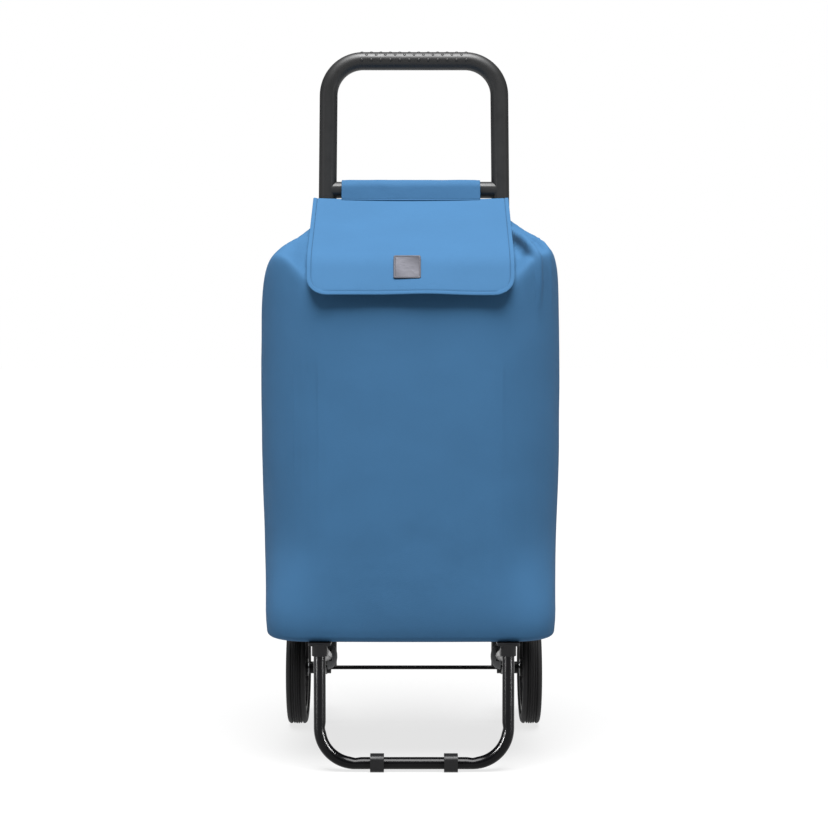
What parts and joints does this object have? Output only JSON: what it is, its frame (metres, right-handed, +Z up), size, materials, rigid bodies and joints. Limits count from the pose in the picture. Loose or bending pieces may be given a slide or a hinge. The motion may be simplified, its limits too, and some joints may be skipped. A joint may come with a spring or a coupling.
{
  "type": "folding shopping trolley",
  "caption": "Two-wheeled folding shopping trolley: tube frame, handle loop, U-shaped front leg and a fabric bag with a lifting flap.",
  "frame": {"origin": "on the floor below the middle of the trolley's box", "axes": "+Z up, -Y to the front where the flap hangs, +X to the right seen from the front"},
  "size_m": [0.401, 0.401, 0.989],
  "materials": {
    "black_steel": "gloss",
    "zinc": "satin",
    "handle_plastic": "satin",
    "black_plastic": "satin",
    "grey_plastic": "matte",
    "tyre_rubber": "matte",
    "blue_cloth": "matte",
    "black_cloth": "matte",
    "label_metal": "satin"
  },
  "bodies": {
    "frame": {"handle_loop": "handle_plastic", "rear_brace": "black_steel", "axle": "black_steel", "rear_tube_left": "black_steel", "rear_tube_right": "black_steel", "side_bracket_left": "black_plastic", "side_bracket_right": "black_plastic", "handle_screw_left": "zinc", "handle_screw_right": "zinc", "pivot_pin_left": "zinc", "pivot_pin_right": "zinc", "button_spring_left": "zinc", "button_spring_right": "zinc", "axle_nut_left": "zinc", "axle_nut_right": "zinc", "wheel_washer_left": "zinc", "wheel_washer_right": "zinc", "frame_strap_left": "black_cloth", "frame_strap_right": "black_cloth", "eyelet_left": "zinc", "eyelet_right": "zinc", "bag_body": "blue_cloth", "bag_collar": "blue_cloth", "bag_base_panel": "black_cloth", "base_stiffener": "black_plastic", "bar_sleeve": "blue_cloth"},
    "base": {"front_leg": "black_steel", "arm_tube_left": "black_steel", "arm_tube_right": "black_steel", "arm_end_left": "black_plastic", "arm_end_right": "black_plastic", "elbow_left": "black_plastic", "elbow_right": "black_plastic", "foot_clip_left": "black_plastic", "foot_clip_right": "black_plastic"},
    "flap": {"flap": "blue_cloth", "label_plate": "label_metal"},
    "wheel_left": {"tyre_left": "tyre_rubber", "rim_left": "black_plastic", "wheel_bush_left": "grey_plastic", "hub_cap_left": "black_plastic"},
    "wheel_right": {"tyre_right": "tyre_rubber", "rim_right": "black_plastic", "wheel_bush_right": "grey_plastic", "hub_cap_right": "black_plastic"},
    "button_left": {"release_button_left": "grey_plastic"},
    "button_right": {"release_button_right": "grey_plastic"}
  },
  "joints": [
    {"name": "base_fold", "type": "hinge", "parent": "frame", "child": "base", "pos_m": [0, 0.041, 0.113], "axis": [-1, 0, 0], "range_deg": [0, 72], "deforming": ["bag_body", "bag_base_panel", "base_stiffener"]},
    {"name": "flap_lift", "type": "hinge", "parent": "frame", "child": "flap", "pos_m": [0, 0.0555, 0.7745], "axis": [-1, 0, 0], "range_deg": [0, 100]},
    {"name": "wheel_left_spin", "type": "hinge", "parent": "frame", "child": "wheel_left", "pos_m": [-0.1723, 0.118, 0.0825], "axis": [1, 0, 0], "continuous": true},
    {"name": "wheel_right_spin", "type": "hinge", "parent": "frame", "child": "wheel_right", "pos_m": [0.1723, 0.118, 0.0825], "axis": [1, 0, 0], "continuous": true},
    {"name": "button_left_press", "type": "slide", "parent": "frame", "child": "button_left", "axis": [-1, 0, 0], "range_m": [0, 0.004], "stiffness_N_per_m": 600, "springref_m": -0.001, "deforming": ["button_spring_left"]},
    {"name": "button_right_press", "type": "slide", "parent": "frame", "child": "button_right", "axis": [1, 0, 0], "range_m": [0, 0.004], "stiffness_N_per_m": 600, "springref_m": -0.001, "deforming": ["button_spring_right"]}
  ]
}
